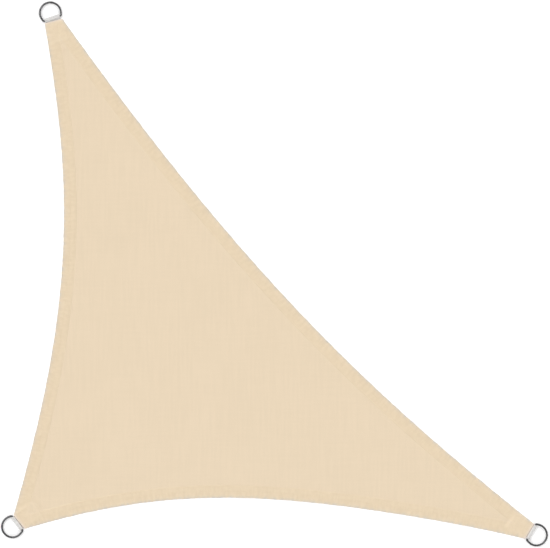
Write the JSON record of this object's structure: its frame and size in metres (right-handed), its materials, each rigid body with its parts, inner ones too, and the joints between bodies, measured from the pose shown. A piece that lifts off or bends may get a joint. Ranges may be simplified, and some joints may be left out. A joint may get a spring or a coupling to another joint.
{
  "type": "triangular shade sail",
  "caption": "Triangular knitted shade sail laid flat, with inward-curving hemmed edges and steel D-rings held in webbing at its corners.",
  "frame": {"origin": "on the surface the sail lies on, under the middle of its bounding box", "axes": "+Z up, away from the surface; seen from above with +Y up, the near-square corner is at the lower left (-X, -Y) and the long side runs from upper left to lower right"},
  "size_m": [2.1063, 2.0992, 0.0116],
  "materials": {
    "sail_fabric": "matt knitted polyethylene, sand beige, with a faint rib",
    "webbing": "ribbed polyester webbing, off-white",
    "ring_steel": "polished stainless steel wire"
  },
  "bodies": {
    "root": {"sail_cloth": "sail_fabric", "webbing_loop_left": "webbing", "webbing_loop_right": "webbing", "webbing_loop_top": "webbing", "d_ring_left": "ring_steel", "d_ring_right": "ring_steel", "d_ring_top": "ring_steel"}
  },
  "joints": []
}
